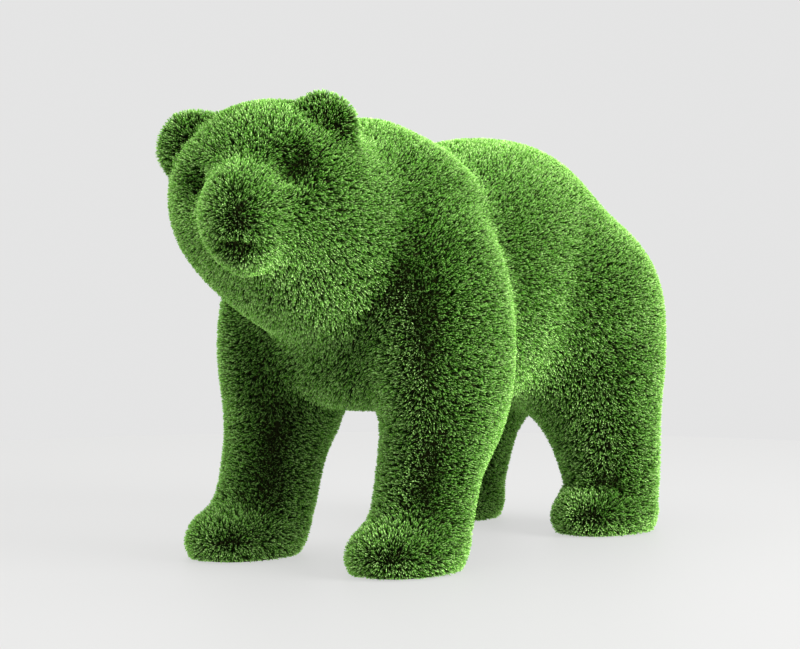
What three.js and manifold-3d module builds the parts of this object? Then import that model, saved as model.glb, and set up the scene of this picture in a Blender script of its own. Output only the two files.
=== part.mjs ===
// Topiary bear: one figure standing on four legs, its head turned to its own left,
// covered all over in cut green turf. Millimetres, +Z up, nose towards -Y, its left
// flank towards +X, soles flat on z = 0. The modelled surface is the tip of the pile.
import * as THREE from "three";
import { mergeVertices } from "three/addons/utils/BufferGeometryUtils.js";
import Module from "manifold-3d";

// Facets: lattice step over the body, rounds of evening out, and how much finer the
// lattice grows around the face
const CELL = 43;
const EVEN_ROUNDS = 2;
const FACE_LENS = { at: [0, -150, 10], reach: 900, finest: 0.52 };

// Masses. An egg has a centre and half sizes, a limb two ends and a radius at each.
// "blend" is the width over which a mass flows into the ones named before it.
const BARREL = { at: [0, 55, 705], half: [325, 350, 350], blend: 1 };
const RUMP = { at: [0, 286, 748], half: [298, 402, 338], blend: 120 };
const HUMP = { at: [0, -295, 882], half: [190, 258, 252], blend: 110 };
const NECK = { ends: [[0, -290, 790], [0, -620, 900]], radii: [262, 240], blend: 100 };
const CHEST = { at: [0, -340, 600], half: [290, 185, 215], blend: 90 };
const RUFF = { ends: [[12, -735, 925], [0, -570, 800]], radii: [202, 188], blend: 130 };

// Masses in pairs, given for the left side and mirrored for the right
const SHOULDER_BLADE = { at: [150, -255, 810], half: [120, 175, 235], blend: 110 };
const HIP = { at: [165, 403, 680], half: [195, 228, 172], blend: 60 };
const HAUNCH = { at: [177, 510, 548], half: [204, 253, 287], blend: 140 };
const HIND_LEG = { ends: [[218, 495, 430], [255, 524, 150]], radii: [178, 130], blend: 60 };
const HIND_PAW = { at: [257, 480, 48], half: [135, 182, 102], blend: 32 };
const UPPER_ARM = { at: [257, -305, 545], half: [145, 225, 350], blend: 80 };
const FORE_LEG = { ends: [[250, -325, 420], [250, -395, 170]], radii: [138, 128], blend: 40 };
const FORE_PAW = { at: [257, -485, 46], half: [137, 182, 98], blend: 75 };

// Head: where its centre sits, its nod, tilt and turn in degrees, then its masses
const HEAD_AT = [12, -750, 955];
const HEAD_TURN = { nod: 0, tilt: -7.5, yaw: 25 };
const SKULL = { at: [0, 30, -6], half: [214, 262, 206], blend: 80 };
const MUZZLE_ROOT = { ends: [[13, -95, -50], [2, -285, -66]], radii: [160, 82], blend: 40 };
const MUZZLE = { at: [2, -257, -67], half: [82, 125, 133], blend: 50 };
const EAR = { at: [162, 24, 127], half: [97, 61, 97], blend: 15 };

// Hollows carved into the head
const EYE_HOLLOW = { at: [137, -197, 50], half: [46, 52, 52], blend: 50 };
const MOUTH = { at: [0, -380, -145], half: [60, 48, 15], blend: 24 };

const V = (xyz) => new THREE.Vector3(...xyz);
const SIDES = [1, -1];

const headPose = new THREE.Matrix4()
  .makeRotationFromEuler(new THREE.Euler(
    THREE.MathUtils.degToRad(HEAD_TURN.nod),
    THREE.MathUtils.degToRad(HEAD_TURN.tilt),
    THREE.MathUtils.degToRad(HEAD_TURN.yaw), "ZYX"))
  .setPosition(V(HEAD_AT));
const bodyPose = new THREE.Matrix4();

// Signed distance to an egg, negative inside
function egg(centre, half, pose) {
  const local = pose.clone().multiply(new THREE.Matrix4().setPosition(centre)).invert();
  const p = new THREE.Vector3();
  return (q) => {
    p.copy(q).applyMatrix4(local).divide(half);
    const k = p.length();
    const slope = p.divide(half).length();
    return slope > 0 ? (k * (k - 1)) / slope : -Math.min(...half.toArray());
  };
}

// Signed distance to a round-ended tapering limb, negative inside
function limb(from, to, rFrom, rTo) {
  const axis = to.clone().sub(from);
  const l2 = axis.lengthSq();
  const taper = rFrom - rTo;
  const a2 = l2 - taper * taper;
  const p = new THREE.Vector3();
  const side = new THREE.Vector3();
  return (q) => {
    const y = p.subVectors(q, from).dot(axis);
    const z = y - l2;
    const x2 = side.copy(p).multiplyScalar(l2).addScaledVector(axis, -y).lengthSq();
    const k = Math.sign(taper) * taper * taper * x2;
    if (Math.sign(z) * a2 * z * z * l2 > k) return Math.sqrt(x2 + z * z * l2) / l2 - rTo;
    if (Math.sign(y) * a2 * y * y * l2 < k) return Math.sqrt(x2 + y * y * l2) / l2 - rFrom;
    return (Math.sqrt((x2 * a2) / l2) + y * taper) / l2 - rFrom;
  };
}

// One mass as a distance function, on the given side and in the given pose
function shape(mass, pose, side) {
  const point = ([x, y, z]) => V([side * x, y, z]);
  if (mass.at) return egg(point(mass.at), V(mass.half), pose);
  const [from, to] = mass.ends.map((end) => point(end).applyMatrix4(pose));
  return limb(from, to, ...mass.radii);
}

function smoothUnion(a, b, blend) {
  const h = Math.max(blend - Math.abs(a - b), 0) / blend;
  return Math.min(a, b) - (h * h * blend) / 4;
}
const smoothCut = (a, b, blend) => -smoothUnion(-a, b, blend);

const steps = [];
function put(join, mass, pose = bodyPose, side = 1) {
  steps.push({ join, blend: mass.blend, distance: shape(mass, pose, side) });
}
for (const mass of [BARREL, RUMP, HUMP, NECK, CHEST, RUFF]) put(smoothUnion, mass);
for (const side of SIDES) {
  for (const mass of [SHOULDER_BLADE, HIP, HAUNCH, HIND_LEG, HIND_PAW, UPPER_ARM, FORE_LEG, FORE_PAW]) {
    put(smoothUnion, mass, bodyPose, side);
  }
}
for (const mass of [SKULL, MUZZLE_ROOT, MUZZLE]) put(smoothUnion, mass, headPose);
for (const side of SIDES) put(smoothUnion, EAR, headPose, side);
for (const side of SIDES) put(smoothCut, EYE_HOLLOW, headPose, side);
put(smoothCut, MOUTH, headPose);

const field = (p) => steps.reduce((d, s) => s.join(d, s.distance(p), s.blend), 1e6);

// Moves a lattice point so that the lattice closes up around the face
const lensAt = V(FACE_LENS.at).applyMatrix4(headPose);
function lens(p) {
  p.sub(lensAt);
  const ease = THREE.MathUtils.smoothstep(p.length() / FACE_LENS.reach, 0, 1);
  return p.multiplyScalar(THREE.MathUtils.lerp(FACE_LENS.finest, 1, ease)).add(lensAt);
}

// Slides a point along the slope of the field until it lies on the surface
function settle(p, rounds, level) {
  const g = new THREE.Vector3();
  const q = new THREE.Vector3();
  for (let i = 0; i < rounds; i++) {
    const d = field(p);
    g.setX(field(q.copy(p).setX(p.x + 1)) - d);
    g.setY(field(q.copy(p).setY(p.y + 1)) - d);
    g.setZ(level ? 0 : field(q.copy(p).setZ(p.z + 1)) - d);
    p.addScaledVector(g, -d / Math.max(g.lengthSq(), 0.25));
  }
}

// Spaces the points evenly over the surface, those near the ground exactly on it
function even(points, facets) {
  points.forEach((p) => settle(p, 3, false));
  for (let round = 0; round < EVEN_ROUNDS; round++) {
    const sums = points.map(() => V([0, 0, 0]));
    const counts = points.map(() => 0);
    for (const ring of facets) for (let c = 0; c < 4; c++) {
      sums[ring[c]].add(points[ring[(c + 1) % 4]]).add(points[ring[(c + 3) % 4]]);
      counts[ring[c]] += 2;
    }
    points.forEach((p, i) => settle(p.lerp(sums[i].divideScalar(counts[i]), 0.5), 2, false));
  }
  for (const p of points) if (Math.abs(p.z) < CELL / 3) settle(p.setZ(0), 4, true);
}

// Closed skin of the field: one point in each lattice cell the surface passes
// through, one four-sided facet across each lattice edge it crosses
function skin(low, high) {
  const count = high.clone().sub(low).divideScalar(CELL).ceil().addScalar(1);
  const [nx, ny, nz] = count.toArray();
  const at = (i, j, k) => i + nx * (j + ny * k);
  const node = [];
  const value = [];
  for (let k = 0; k < nz; k++) for (let j = 0; j < ny; j++) for (let i = 0; i < nx; i++) {
    const p = lens(V([i, j, k]).multiplyScalar(CELL).add(low));
    node.push(p);
    value.push(field(p));
  }
  // Where inside and outside meet crosswise on a lattice face, its nearer outer corner is taken in
  const stride = [1, nx, nx * ny];
  for (let n = 0; n < value.length - nx * ny - nx; n++) for (const [u, v] of [[0, 1], [0, 2], [1, 2]]) {
    const face = [n, n + stride[u], n + stride[u] + stride[v], n + stride[v]];
    const outer = face.filter((m) => value[m] >= 0).sort((a, b) => value[a] - value[b]);
    if (outer.length === 2 && (face.indexOf(outer[0]) - face.indexOf(outer[1])) % 2 === 0) value[outer[0]] = -1;
  }
  const corners = [0, 1, 2, 3, 4, 5, 6, 7].map((c) => [c & 1, (c >> 1) & 1, c >> 2]);
  const edges = corners.flatMap((_, a) => [1, 2, 4].filter((b) => !(a & b)).map((b) => [a, a | b]));
  const points = [];
  const pointIn = new Map();
  for (let k = 0; k < nz - 1; k++) for (let j = 0; j < ny - 1; j++) for (let i = 0; i < nx - 1; i++) {
    const ids = corners.map(([a, b, c]) => at(i + a, j + b, k + c));
    const crossed = edges.filter(([a, b]) => value[ids[a]] < 0 !== value[ids[b]] < 0);
    if (!crossed.length) continue;
    const mean = V([0, 0, 0]);
    for (const [a, b] of crossed) {
      const t = value[ids[a]] / (value[ids[a]] - value[ids[b]]);
      mean.add(node[ids[a]].clone().lerp(node[ids[b]], THREE.MathUtils.clamp(t, 0.2, 0.8)));
    }
    pointIn.set(at(i, j, k), points.length);
    points.push(mean.divideScalar(crossed.length));
  }
  const facets = [];
  for (let k = 1; k < nz - 1; k++) for (let j = 1; j < ny - 1; j++) for (let i = 1; i < nx - 1; i++) {
    const inside = value[at(i, j, k)] < 0;
    const cell = (a, b, c) => pointIn.get(at(i - a, j - b, k - c));
    const ring = (...cells) => facets.push(inside ? cells : cells.reverse());
    if (inside !== value[at(i + 1, j, k)] < 0) ring(cell(0, 1, 1), cell(0, 0, 1), cell(0, 0, 0), cell(0, 1, 0));
    if (inside !== value[at(i, j + 1, k)] < 0) ring(cell(1, 0, 1), cell(1, 0, 0), cell(0, 0, 0), cell(0, 0, 1));
    if (inside !== value[at(i, j, k + 1)] < 0) ring(cell(1, 1, 0), cell(0, 1, 0), cell(0, 0, 0), cell(1, 0, 0));
  }
  even(points, facets);
  const index = facets.flatMap(([a, b, c, d]) =>
    points[a].distanceTo(points[c]) < points[b].distanceTo(points[d]) ? [a, b, c, a, c, d] : [b, c, d, b, d, a]);
  return new THREE.BufferGeometry().setFromPoints(points).setIndex(index);
}

const kernel = await Module();
kernel.setup();

function toSolid(geometry) {
  const bare = geometry.clone().deleteAttribute("normal").deleteAttribute("uv");
  const merged = mergeVertices(bare, 1e-3);
  return new kernel.Manifold(new kernel.Mesh({
    numProp: 3,
    vertProperties: merged.attributes.position.array,
    triVerts: new Uint32Array(merged.index.array),
  }));
}

function toGeometry(solid) {
  const mesh = solid.getMesh();
  return new THREE.BufferGeometry()
    .setAttribute("position", new THREE.BufferAttribute(mesh.vertProperties, 3))
    .setIndex(new THREE.BufferAttribute(mesh.triVerts, 1));
}

// The paws run a little below the ground and are cut level there, which leaves the soles
const GROUND = 2.5 * CELL;
const figure = toSolid(skin(V([-520, -1330, -GROUND]), V([520, 900, 1440])));
const aboveGround = toSolid(new THREE.BoxGeometry(4000, 4000, 4000).translate(0, 0, 2000));
const form = toGeometry(figure.intersect(aboveGround));

// Stands with the middle of its box over the origin
form.computeBoundingBox();
const middle = form.boundingBox.getCenter(new THREE.Vector3());
form.translate(-middle.x, -middle.y, 0);
form.computeVertexNormals();

const turf = new THREE.MeshStandardMaterial({ color: 0x3f7a26, roughness: 0.95, metalness: 0 });
const bear = new THREE.Mesh(form, turf);
bear.name = "bear";

const part = new THREE.Group();
part.name = "topiary_bear";
part.add(bear);
export default part;
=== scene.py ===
"""Topiary bear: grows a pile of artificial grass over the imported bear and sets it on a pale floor.

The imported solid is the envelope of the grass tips. A brown backing lies one pile depth inside it,
and tufts of flat blades stand on the backing and end at the envelope.
"""

import math

import bmesh
import bpy
import numpy as np
from bpy.props import FloatProperty, FloatVectorProperty, IntProperty, PointerProperty
from mathutils import Euler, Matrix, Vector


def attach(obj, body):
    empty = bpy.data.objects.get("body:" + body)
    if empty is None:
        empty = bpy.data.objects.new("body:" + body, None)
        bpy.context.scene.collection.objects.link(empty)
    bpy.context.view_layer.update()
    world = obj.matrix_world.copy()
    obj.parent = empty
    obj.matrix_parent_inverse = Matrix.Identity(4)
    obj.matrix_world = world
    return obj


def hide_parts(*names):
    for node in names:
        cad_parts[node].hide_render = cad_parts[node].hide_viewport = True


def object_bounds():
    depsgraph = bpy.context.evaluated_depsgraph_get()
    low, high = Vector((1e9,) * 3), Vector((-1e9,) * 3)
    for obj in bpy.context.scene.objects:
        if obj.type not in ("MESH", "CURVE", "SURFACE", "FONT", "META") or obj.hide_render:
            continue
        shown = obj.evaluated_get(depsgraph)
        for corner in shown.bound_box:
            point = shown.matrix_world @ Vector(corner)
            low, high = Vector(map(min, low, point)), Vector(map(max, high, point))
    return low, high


bl_info = {
    "name": "Topiary bear",
    "version": (1, 0, 0),
    "blender": (4, 5, 0),
    "location": "View3D > Sidebar > Bear",
    "description": "Grows artificial grass over the packed bear and sets the studio around it",
    "category": "Object",
}

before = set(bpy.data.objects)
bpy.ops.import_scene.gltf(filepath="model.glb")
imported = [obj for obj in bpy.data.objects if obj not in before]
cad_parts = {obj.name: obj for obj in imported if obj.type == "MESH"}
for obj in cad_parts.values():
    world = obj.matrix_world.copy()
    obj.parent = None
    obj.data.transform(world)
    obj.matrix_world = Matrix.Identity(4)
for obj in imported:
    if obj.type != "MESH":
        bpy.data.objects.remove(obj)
CAD_LOW, CAD_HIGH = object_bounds()
NODE = "bear"
BODY = "root"
TONE_MAP = "OFBake"
MERGE_GAP = 1e-5
SHORTEST = 1e-9

# Shares that hold for every blade: how much more a fibre leans, how far widths differ, how far a blade
# twists from root to tip, and how unevenly the lowest tips end above the floor
FIBRE_LEAN = 1.8
WIDTH_SPREAD = 0.25
BLADE_TWIST = 0.4
GROUND_SPREAD = 3.0

# Colour along a blade: the height where the dark root ends and where the light tip begins, the share of
# the pale sheen colour at the tip, and the shade of the darkest blade and what the lightest has above it.
# The dark root is partly painted shade of the deep pile, the pale tip partly painted sheen
ROOT_END = 0.36
TIP_START = 0.83
PALE_SHEEN_SHARE = 0.8
DARKEST_SHADE = 0.62
SHADE_RANGE = 0.6
TONE_HALF_WIDTH = 0.004

# The fibres that show on the backing, the darker clouds of the floor, and the floor's number of sides
THATCH_SHARE = 0.5
FLOOR_DARKER = 0.96
FLOOR_SIDES = 128

# Sockets of a Mix node that mixes colours
MIX_FACTOR, MIX_FIRST, MIX_SECOND, MIX_RESULT = 0, 6, 7, 2

# Each piece of turf by the box its roots lie in, as fractions of the bear's own box: length, then height.
# A root belongs to the first piece whose box holds it.
TURF_PIECES = {
    "turf_forelegs": ((0.0, 0.52), (0.0, 0.33)),
    "turf_hindlegs": ((0.72, 1.0), (0.0, 0.36)),
    "turf_head": ((0.0, 0.30), (0.0, 1.0)),
    "turf_shoulders": ((0.0, 0.50), (0.0, 1.0)),
    "turf_barrel": ((0.0, 0.74), (0.0, 1.0)),
    "turf_hindquarters": ((0.0, 1.0), (0.0, 1.0)),
}


class TurfSettings(bpy.types.PropertyGroup):
    """Sizes and colours of the turf."""

    backing_depth: FloatProperty(
        name="Backing depth", description="How far the backing lies inside the envelope of the tips",
        default=0.023, unit="LENGTH")
    pile: FloatProperty(
        name="Pile", description="Mean length of a blade", default=0.0265, unit="LENGTH")
    pile_spread: FloatProperty(
        name="Pile spread", description="Share by which blades are shorter or longer", default=0.16,
        subtype="FACTOR")
    tuft_gap: FloatProperty(
        name="Tuft gap", description="Mean distance between tufts", default=0.0060, unit="LENGTH")
    tuft_size: FloatProperty(
        name="Tuft size", description="Spread of the roots of one tuft", default=0.0030, unit="LENGTH")
    blades: IntProperty(name="Blades", description="Blades in one tuft", default=3)
    blade_width: FloatProperty(
        name="Blade width", description="Mean width of a blade", default=0.0021, unit="LENGTH")
    splay: FloatProperty(
        name="Splay", description="Lean of single blades away from their tuft", default=0.085,
        subtype="FACTOR")
    tuft_lean: FloatProperty(
        name="Tuft lean", description="Lean of whole tufts", default=0.05, subtype="FACTOR")
    droop: FloatProperty(
        name="Droop", description="Lean of the pile downhill", default=0.05, subtype="FACTOR")
    ground_gap: FloatProperty(
        name="Ground gap", description="Height of the lowest tips above the floor", default=0.0015,
        unit="LENGTH")
    fibre_share: FloatProperty(
        name="Fibre share", description="Share of the blades that are short brown curled fibres",
        default=0.11, subtype="FACTOR")
    fibre_length: FloatProperty(
        name="Fibre length", description="Length of a brown fibre as a share of the pile", default=0.6,
        subtype="FACTOR")
    # Blades in inward hollows are trimmed, and their tone is lowered as painted shade
    hollow_start: FloatProperty(
        name="Hollow start", description="Inward curve, per metre, at which blades begin to be trimmed",
        default=2.0)
    hollow_full: FloatProperty(
        name="Hollow full", description="Inward curve, per metre, at which blades are trimmed the most",
        default=28.0)
    hollow_trim_and_shade: FloatProperty(
        name="Hollow trim", description="Share of its length that a blade loses in a sharp hollow",
        default=0.55, subtype="FACTOR")
    mouth_place: FloatVectorProperty(
        name="Mouth place", description="Middle of the mouth", subtype="TRANSLATION",
        default=(0.181, -0.914, 0.825))
    mouth_turn: FloatProperty(
        name="Mouth turn", description="Turn of the mouth to the bear's left", default=math.radians(25.0),
        subtype="ANGLE")
    mouth_size: FloatVectorProperty(
        name="Mouth size", description="Half width, depth and half height of the mouth", subtype="XYZ",
        default=(0.062, 0.060, 0.014), unit="LENGTH")
    # Blades in the mouth are trimmed, and their tone is lowered as painted shade, so the mouth shows as a
    # dark line
    mouth_trim_and_shade: FloatProperty(
        name="Mouth trim", description="Share of its length that a blade loses inside the mouth",
        default=0.85, subtype="FACTOR")
    seed: IntProperty(name="Seed", description="Start of the random draws", default=11)
    # The darker root colour stands partly for painted shade deep in the pile
    root_green: FloatVectorProperty(
        name="Root green", description="Colour of a blade at its root", subtype="COLOR",
        default=(0.010, 0.024, 0.003))
    blade_green: FloatVectorProperty(
        name="Blade green", description="Colour of a blade at its middle", subtype="COLOR",
        default=(0.034, 0.140, 0.005))
    # The light tip and the pale colour stand partly for painted sheen and light shining through the blades
    tip_green: FloatVectorProperty(
        name="Tip green", description="Colour of a blade at its tip", subtype="COLOR",
        default=(0.290, 0.900, 0.050))
    pale_sheen_green: FloatVectorProperty(
        name="Pale green", description="Colour that the lighter blades lean to", subtype="COLOR",
        default=(0.720, 0.960, 0.420))
    fibre_brown: FloatVectorProperty(
        name="Fibre brown", description="Colour of the curled fibres", subtype="COLOR",
        default=(0.055, 0.054, 0.020))
    backing_brown: FloatVectorProperty(
        name="Backing brown", description="Colour of the backing", subtype="COLOR",
        default=(0.024, 0.022, 0.010))


class StageSettings(bpy.types.PropertyGroup):
    """Floor, light and camera."""

    floor_radius: FloatProperty(
        name="Floor radius", description="Radius of the round floor", default=3.3, unit="LENGTH")
    floor_colour: FloatVectorProperty(
        name="Floor colour", description="Colour of the floor", subtype="COLOR",
        default=(0.09, 0.09, 0.0893))
    floor_glow: FloatProperty(
        name="Floor glow", description="Strength of the light table under the floor", default=6.4)
    backdrop_colour: FloatVectorProperty(
        name="Backdrop colour", description="Colour of the plain backdrop", subtype="COLOR",
        default=(0.78, 0.78, 0.78))
    key_place: FloatVectorProperty(
        name="Key place", description="Where the large lamp hangs overhead", subtype="TRANSLATION",
        default=(0.2, -0.8, 5.2))
    key_size: FloatProperty(
        name="Key size", description="Width of the large lamp", default=7.0, unit="LENGTH")
    key_power: FloatProperty(
        name="Key power", description="Power of the large lamp", default=310.0, unit="POWER")
    side_place: FloatVectorProperty(
        name="Side place", description="Where the lamp at the bear's left stands", subtype="TRANSLATION",
        default=(5.0, 1.2, 2.4))
    side_size: FloatProperty(
        name="Side size", description="Width of the lamp at the bear's left", default=3.5, unit="LENGTH")
    side_power: FloatProperty(
        name="Side power", description="Power of the lamp at the bear's left", default=560.0, unit="POWER")
    camera_place: FloatVectorProperty(
        name="Camera place", description="Where the camera stands", subtype="TRANSLATION",
        default=(4.149, -5.860, 1.0))
    camera_heading: FloatProperty(
        name="Camera heading", description="Turn of the view from straight ahead to the bear's right",
        default=math.radians(35.19), subtype="ANGLE")
    camera_pitch: FloatProperty(
        name="Camera pitch", description="Tilt of the view below level", default=math.radians(3.2),
        subtype="ANGLE")
    camera_lens: FloatProperty(
        name="Camera lens", description="Focal length in millimetres", default=122.6)
    sensor_width: FloatProperty(
        name="Sensor width", description="Width of the camera's sensor in millimetres", default=36.0)


class Value:
    """A number in a material's nodes. Arithmetic on it adds Math nodes."""

    def __init__(self, finish, socket):
        self.finish = finish
        self.socket = socket

    def maths(self, operation, first, second):
        """A new number worked out from two others."""
        inputs = {0: first, 1: second}
        return self.finish.node("ShaderNodeMath", {"operation": operation}, inputs)

    def __add__(self, other):
        return self.maths("ADD", self, other)

    def __sub__(self, other):
        return self.maths("SUBTRACT", self, other)

    def __rsub__(self, other):
        return self.maths("SUBTRACT", other, self)

    def __mul__(self, other):
        return self.maths("MULTIPLY", self, other)

    def __lt__(self, other):
        return self.maths("LESS_THAN", self, other)

    __radd__ = __add__
    __rmul__ = __mul__


class Finish:
    """One material, built node by node."""

    def __init__(self, name):
        self.material = bpy.data.materials.new(name)
        self.material.use_nodes = True
        self.tree = self.material.node_tree
        self.tree.nodes.clear()

    def node(self, kind, settings=None, inputs=None, output=0):
        """Adds a node, sets it up, fills or links its inputs and gives one of its outputs."""
        node = self.tree.nodes.new(kind)
        for name, setting in (settings or {}).items():
            if name == "stops":
                self.set_stops(node.color_ramp.elements, setting)
            else:
                setattr(node, name, setting)
        for name, given in (inputs or {}).items():
            if isinstance(given, Value):
                self.tree.links.new(given.socket, node.inputs[name])
            else:
                node.inputs[name].default_value = given
        return Value(self, node.outputs[output])

    @staticmethod
    def set_stops(elements, stops):
        """Sets the places and colours of a colour ramp."""
        while len(elements) < len(stops):
            elements.new(1.0)
        for element, (place, colour) in zip(elements, stops):
            element.position = place
            element.color = (*colour, 1.0)

    def mix(self, factor, first, second, blend="MIX"):
        """A colour between two colours."""
        settings = {"data_type": "RGBA", "blend_type": blend}
        inputs = {MIX_FACTOR: factor, MIX_FIRST: self.colour(first), MIX_SECOND: self.colour(second)}
        return self.node("ShaderNodeMix", settings, inputs, output=MIX_RESULT)

    @staticmethod
    def colour(given):
        """A linked colour as it is, or a plain one with its alpha."""
        return given if isinstance(given, Value) else (*given, 1.0)

    def surface(self, inputs):
        """Closes the material with a Principled surface."""
        shader = self.node("ShaderNodeBsdfPrincipled", None, inputs)
        output = self.tree.nodes.new("ShaderNodeOutputMaterial")
        self.tree.links.new(shader.socket, output.inputs["Surface"])
        return self.material


def blade_finish(turf):
    """Grass blade: dark at the root, partly painted shade of the deep pile, pale at the tip, partly painted
    sheen, each blade in its own tone, some brown.
    """
    finish = Finish("grass_blade")
    place = finish.node("ShaderNodeUVMap", {"uv_map": TONE_MAP})
    tone = finish.node("ShaderNodeSeparateXYZ", None, {"Vector": place}, output="X")
    height = finish.node("ShaderNodeSeparateXYZ", None, {"Vector": place}, output="Y")
    stops = [(ROOT_END, turf.root_green), (TIP_START, turf.blade_green), (1.0, turf.tip_green)]
    green = finish.node("ShaderNodeValToRGB", {"stops": stops}, {"Fac": height})
    # The lighter blades turn pale towards the tip: painted sheen
    high = height * height * height * height
    pale = finish.mix(tone * high * PALE_SHEEN_SHARE, green, turf.pale_sheen_green)
    # A lower tone darkens the blade; in hollows and the mouth that darkening is painted shade
    shade = DARKEST_SHADE + SHADE_RANGE * tone
    grey = finish.node("ShaderNodeCombineColor", None, {"Red": shade, "Green": shade, "Blue": shade})
    toned = finish.mix(1.0, pale, grey, blend="MULTIPLY")
    brown = finish.mix(tone < turf.fibre_share, toned, turf.fibre_brown)
    return finish.surface({"Base Color": brown, "Roughness": 0.6, "Specular IOR Level": 0.06})


def backing_finish(turf):
    """Woven backing with crushed thatch: dark brown, mottled with dull green."""
    finish = Finish("turf_backing")
    coarse = finish.node("ShaderNodeTexNoise", None, {"Scale": 60.0, "Detail": 4.0})
    fine = finish.node("ShaderNodeTexNoise", None, {"Scale": 420.0, "Detail": 2.0})
    mottled = finish.mix(coarse, turf.backing_brown, turf.root_green)
    worn = finish.mix(fine * THATCH_SHARE, mottled, turf.fibre_brown)
    bump = finish.node("ShaderNodeBump", None, {"Strength": 0.6, "Distance": 0.004, "Height": fine})
    return finish.surface({"Base Color": worn, "Roughness": 0.9, "Specular IOR Level": 0.05, "Normal": bump})


def floor_finish(stage):
    """Matt pale floor, lit from below, with a trace of unevenness."""
    finish = Finish("pale_floor")
    cloud = finish.node("ShaderNodeTexNoise", None, {"Scale": 0.8, "Detail": 3.0})
    darker = [FLOOR_DARKER * part for part in stage.floor_colour]
    tint = finish.mix(cloud, stage.floor_colour, darker)
    return finish.surface({
        "Base Color": tint, "Roughness": 0.6, "Specular IOR Level": 0.3,
        "Emission Color": (*stage.floor_colour, 1.0), "Emission Strength": stage.floor_glow})


def link(name, data):
    """Puts new data into the scene as an object."""
    piece = bpy.data.objects.new(name, data)
    bpy.context.scene.collection.objects.link(piece)
    return piece


def open_shell():
    """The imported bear's mesh with its points merged and its flat soles taken off."""
    shell = bmesh.new()
    shell.from_mesh(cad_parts[NODE].data)
    bmesh.ops.remove_doubles(shell, verts=shell.verts, dist=MERGE_GAP)
    soles = [face for face in shell.faces if max(v.co.z for v in face.verts) < MERGE_GAP]
    bmesh.ops.delete(shell, geom=soles, context="FACES_ONLY")
    mesh = bpy.data.meshes.new("shell")
    shell.to_mesh(mesh)
    shell.free()
    return mesh


def rounded_shell(levels):
    """The open shell as a mesh, rounded off in so many steps."""
    rough = link("shell", open_shell())
    rough.modifiers.new("Round", "SUBSURF").levels = levels
    evaluated = rough.evaluated_get(bpy.context.evaluated_depsgraph_get())
    mesh = bpy.data.meshes.new_from_object(evaluated)
    bpy.data.objects.remove(rough)
    return mesh


def numbers(items, name, width):
    """One property of all items as rows of numbers."""
    found = np.empty(len(items) * width, np.float32 if name in ("co", "normal") else np.int32)
    items.foreach_get(name, found)
    return found.reshape(-1, width)


def mean_around(ends, values, count):
    """The mean, for each point, of a value given for each step from it to its neighbours."""
    return np.bincount(ends[:, 0], values, count) / np.bincount(ends[:, 0], minlength=count)


def inward_curve(mesh, place, out):
    """How sharply the surface curves inwards at each of its points, per metre."""
    ends = numbers(mesh.edges, "vertices", 2)
    ends = np.concatenate([ends, ends[:, ::-1]])
    step = place[ends[:, 1]] - place[ends[:, 0]]
    bend = 2 * (step * out[ends[:, 0]]).sum(1) / (step**2).sum(1)
    curve = mean_around(ends, bend, len(place))
    return mean_around(ends, curve[ends[:, 1]], len(place))


def unit(rows):
    """Each row brought to a length of one."""
    return rows / np.maximum(np.linalg.norm(rows, axis=1, keepdims=True), SHORTEST)


class Roots:
    """Points spread evenly over the rounded shell, with the way that is out at each."""

    def __init__(self, gap, random):
        mesh = rounded_shell(levels=2)
        mesh.calc_loop_triangles()
        corners = numbers(mesh.loop_triangles, "vertices", 3)
        place = numbers(mesh.vertices, "co", 3).astype(float)
        out = numbers(mesh.vertices, "normal", 3).astype(float)
        a, b, c = (place[corners[:, i]] for i in range(3))
        area = np.linalg.norm(np.cross(b - a, c - a), axis=1) / 2
        count = round(area.sum() / gap**2)
        along = (np.arange(count) + random.random(count)) / count * area.sum()
        face = corners[np.searchsorted(np.cumsum(area), along).clip(0, len(area) - 1)]
        u, v = random.random((2, count, 1))
        folded = u + v > 1
        u, v = np.where(folded, 1 - u, u), np.where(folded, 1 - v, v)
        share = np.stack([1 - u - v, u, v])
        self.place = sum(share[i] * place[face[:, i]] for i in range(3))
        self.out = unit(sum(share[i] * out[face[:, i]] for i in range(3)))
        curve = inward_curve(mesh, place, out)[:, None]
        self.curve = sum(share[i] * curve[face[:, i]] for i in range(3))


def tangent_draw(out, spread, random):
    """Random leans along the surface."""
    lean = random.normal(0.0, spread, out.shape)
    return lean - out * (lean * out).sum(1, keepdims=True)


def trim_and_shade_share(turf, tufts):
    """Share of their length that blades lose: in hollows, and most of all in the mouth. The same share
    lowers their tone, which is painted shade there.
    """
    sharp = (tufts.curve - turf.hollow_start) / (turf.hollow_full - turf.hollow_start)
    turn = np.array(Euler((0.0, 0.0, turf.mouth_turn)).to_matrix())
    across = (tufts.place - np.array(turf.mouth_place)) @ turn / np.array(turf.mouth_size)
    mouth = np.exp(-(across**2).sum(1, keepdims=True))
    return np.maximum(turf.hollow_trim_and_shade * sharp.clip(0.0, 1.0), turf.mouth_trim_and_shade * mouth)


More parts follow.
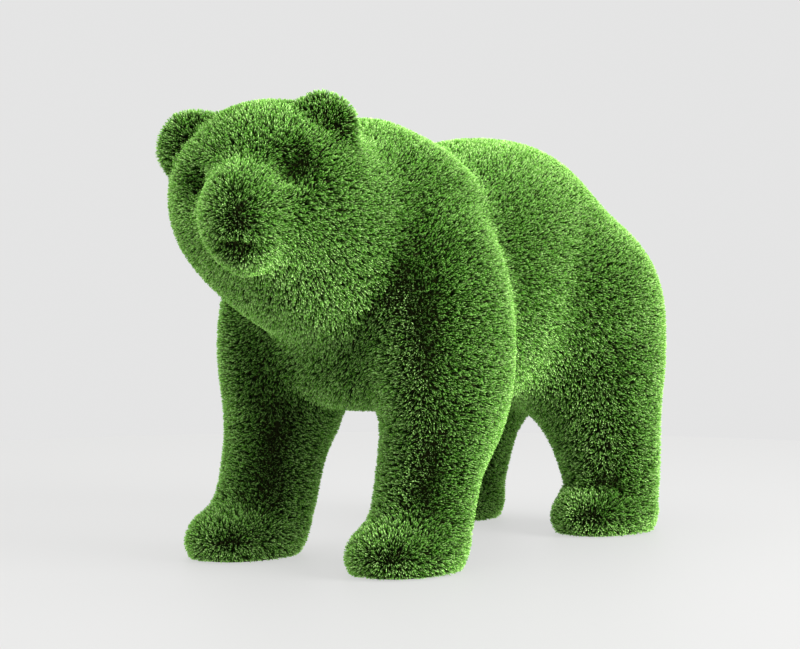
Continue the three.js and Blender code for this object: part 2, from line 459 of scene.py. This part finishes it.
def grow_blades(turf):
    """Corner points (two at the root, two at the cut tip) and tones of all blades."""
    random = np.random.default_rng(turf.seed)
    tufts = Roots(turf.tuft_gap, random)
    lean = tangent_draw(tufts.out, turf.tuft_lean, random)
    downhill = np.array([0.0, 0.0, -1.0]) + tufts.out * tufts.out[:, 2:]
    lean += turf.droop * downhill
    trim_and_shade = trim_and_shade_share(turf, tufts)
    place, out, lean, trim_and_shade = (
        np.repeat(rows, turf.blades, axis=0) for rows in (tufts.place, tufts.out, lean, trim_and_shade))
    count = len(place)
    lean = lean + tangent_draw(out, turf.splay, random)
    # A trimmed blade gets a lower tone: painted shade in hollows and the mouth, darker and more often brown
    tone = random.random(count) * (1 - trim_and_shade[:, 0])
    fibre = tone < turf.fibre_share
    length = turf.pile * (1 + turf.pile_spread * random.uniform(-1, 1, count))
    length = np.where(fibre, length * turf.fibre_length, length)[:, None] * (1 - trim_and_shade)
    lean = np.where(fibre[:, None], lean * FIBRE_LEAN, lean)
    root = place - out * turf.backing_depth + tangent_draw(out, turf.tuft_size / 2, random)
    tip = root + length * unit(out + lean)
    floor = turf.ground_gap * (1 + GROUND_SPREAD * random.random(count))
    for rows in (root, tip):
        rows[:, 2] = np.maximum(rows[:, 2], floor)
    face = random.normal(0.0, 1.0, root.shape)
    half = turf.blade_width / 2 * random.uniform(1 - WIDTH_SPREAD, 1 + WIDTH_SPREAD, (count, 1))
    foot = half * unit(np.cross(tip - root, face))
    twisted = face + random.normal(0.0, BLADE_TWIST, root.shape)
    end = half * unit(np.cross(tip - root, twisted))
    return np.stack([root - foot, root + foot, tip + end, tip - end], axis=1), tone


def piece_of(roots):
    """The number of the turf piece that each root belongs to."""
    low, high = np.array(CAD_LOW), np.array(CAD_HIGH)
    share = (roots - low) / (high - low)
    chosen = np.full(len(roots), -1)
    for number, (lengthwise, upwards) in enumerate(TURF_PIECES.values()):
        held = (share[:, 1] <= lengthwise[1]) & (share[:, 1] >= lengthwise[0])
        held &= (share[:, 2] <= upwards[1]) & (share[:, 2] >= upwards[0])
        chosen[held & (chosen < 0)] = number
    return np.where(chosen < 0, len(TURF_PIECES) - 1, chosen)


def blade_mesh(name, corners, tone):
    """A mesh of twisted blades, two triangles each, mapped by tone and height."""
    count = len(corners)
    mesh = bpy.data.meshes.new(name)
    mesh.vertices.add(4 * count)
    mesh.vertices.foreach_set("co", corners.astype(np.float32).ravel())
    faces = np.array([0, 1, 2, 0, 2, 3]) + 4 * np.arange(count)[:, None]
    mesh.loops.add(6 * count)
    mesh.loops.foreach_set("vertex_index", faces.astype(np.int32).ravel())
    mesh.polygons.add(2 * count)
    mesh.polygons.foreach_set("loop_start", np.arange(0, 6 * count, 3, dtype=np.int32))
    mesh.polygons.foreach_set("use_smooth", np.ones(2 * count, bool))
    mesh.update(calc_edges=True)
    low, high = tone - TONE_HALF_WIDTH, tone + TONE_HALF_WIDTH
    across = np.stack([low, high, high, low], axis=1).clip(0.0, 1.0)
    height = np.broadcast_to([0.0, 0.0, 1.0, 1.0], across.shape)
    chart = np.stack([across, height], axis=2).reshape(-1, 2)[faces.ravel()]
    mesh.uv_layers.new(name=TONE_MAP).uv.foreach_set("vector", chart.astype(np.float32).ravel())
    return mesh


class BEAR_OT_stage(bpy.types.Operator):
    """Make the floor, the light and the camera"""

    bl_idname = "bear.stage"
    bl_label = "Stage"

    def execute(self, context):
        stage = context.scene.bear_stage
        self.add_floor(stage)
        self.add_light(context.scene, stage)
        self.add_camera(context.scene, stage)
        context.scene.view_settings.view_transform = "Standard"
        return {"FINISHED"}

    @staticmethod
    def add_floor(stage):
        """A round floor, one flat face."""
        disc = bmesh.new()
        bmesh.ops.create_circle(disc, cap_ends=True, segments=FLOOR_SIDES, radius=stage.floor_radius)
        mesh = bpy.data.meshes.new("floor")
        disc.to_mesh(mesh)
        disc.free()
        mesh.materials.append(floor_finish(stage))
        link("floor", mesh)

    def add_light(self, scene, stage):
        """A plain bright backdrop and two soft lamps."""
        world = bpy.data.worlds.new("backdrop")
        world.use_nodes = True
        background = world.node_tree.nodes["Background"]
        background.inputs["Color"].default_value = (*stage.backdrop_colour, 1.0)
        scene.world = world
        self.add_lamp("key", stage.key_place, stage.key_size, stage.key_power)
        self.add_lamp("side", stage.side_place, stage.side_size, stage.side_power)

    @staticmethod
    def add_lamp(name, place, size, power):
        """A round soft lamp that points at the middle of the floor."""
        light = bpy.data.lights.new(name, "AREA")
        light.shape = "DISK"
        light.size = size
        light.energy = power
        lamp = link(name, light)
        lamp.location = place
        lamp.rotation_euler = (-lamp.location).to_track_quat("-Z", "Y").to_euler()

    @staticmethod
    def add_camera(scene, stage):
        """The camera that looks at the bear from its left front."""
        lens = bpy.data.cameras.new("camera")
        lens.sensor_width = stage.sensor_width
        lens.lens = stage.camera_lens
        camera = link("camera", lens)
        camera.location = stage.camera_place
        camera.rotation_euler = Euler((math.pi / 2 - stage.camera_pitch, 0.0, stage.camera_heading))
        scene.camera = camera


class BEAR_OT_backing(bpy.types.Operator):
    """Make the brown backing that the blades stand on"""

    bl_idname = "bear.backing"
    bl_label = "Backing"

    def execute(self, context):
        turf = context.scene.bear_turf
        mesh = rounded_shell(levels=1)
        mesh.name = "turf_backing"
        place = numbers(mesh.vertices, "co", 3).astype(float)
        out = numbers(mesh.vertices, "normal", 3).astype(float)
        grounded = place[:, 2] < MERGE_GAP
        out[grounded, 2] = 0.0
        inner = place - unit(out) * turf.backing_depth
        inner[:, 2] = inner[:, 2].clip(0.0)
        mesh.vertices.foreach_set("co", inner.astype(np.float32).ravel())
        self.close_soles(mesh)
        mesh.materials.clear()
        mesh.materials.append(backing_finish(turf))
        piece = link("turf_backing", mesh)
        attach(piece, BODY)
        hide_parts(NODE)
        return {"FINISHED"}

    @staticmethod
    def close_soles(mesh):
        """Fills the open rims under the paws."""
        shell = bmesh.new()
        shell.from_mesh(mesh)
        rims = [edge for edge in shell.edges if edge.is_boundary]
        bmesh.ops.contextual_create(shell, geom=rims)
        shell.to_mesh(mesh)
        shell.free()


class BEAR_OT_pile(bpy.types.Operator):
    """Grow the grass blades, in one piece of turf for each part of the bear"""

    bl_idname = "bear.pile"
    bl_label = "Grass pile"

    def execute(self, context):
        turf = context.scene.bear_turf
        corners, tone = grow_blades(turf)
        finish = blade_finish(turf)
        belongs = piece_of(corners[:, 0])
        for number, name in enumerate(TURF_PIECES):
            held = belongs == number
            mesh = blade_mesh(name, corners[held], tone[held])
            mesh.materials.append(finish)
            piece = link(name, mesh)
            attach(piece, BODY)
        return {"FINISHED"}


class BEAR_PT_panel(bpy.types.Panel):
    """Lists the steps that make the bear and their settings"""

    bl_idname = "BEAR_PT_panel"
    bl_label = "Topiary bear"
    bl_space_type = "VIEW_3D"
    bl_region_type = "UI"
    bl_category = "Bear"

    def draw(self, context):
        for step in STEPS:
            self.layout.operator(step.bl_idname)
        for settings in (context.scene.bear_turf, context.scene.bear_stage):
            box = self.layout.box()
            for name in settings.bl_rna.properties.keys():
                if name not in ("rna_type", "name"):
                    box.prop(settings, name)


STEPS = (BEAR_OT_stage, BEAR_OT_backing, BEAR_OT_pile)
CLASSES = (TurfSettings, StageSettings, *STEPS, BEAR_PT_panel)


def register():
    for item in CLASSES:
        bpy.utils.register_class(item)
    bpy.types.Scene.bear_turf = PointerProperty(type=TurfSettings)
    bpy.types.Scene.bear_stage = PointerProperty(type=StageSettings)


def unregister():
    del bpy.types.Scene.bear_stage
    del bpy.types.Scene.bear_turf
    for item in reversed(CLASSES):
        bpy.utils.unregister_class(item)


def main():
    register()
    bpy.ops.bear.stage()
    bpy.ops.bear.backing()
    bpy.ops.bear.pile()


if __name__ == "__main__":
    main()
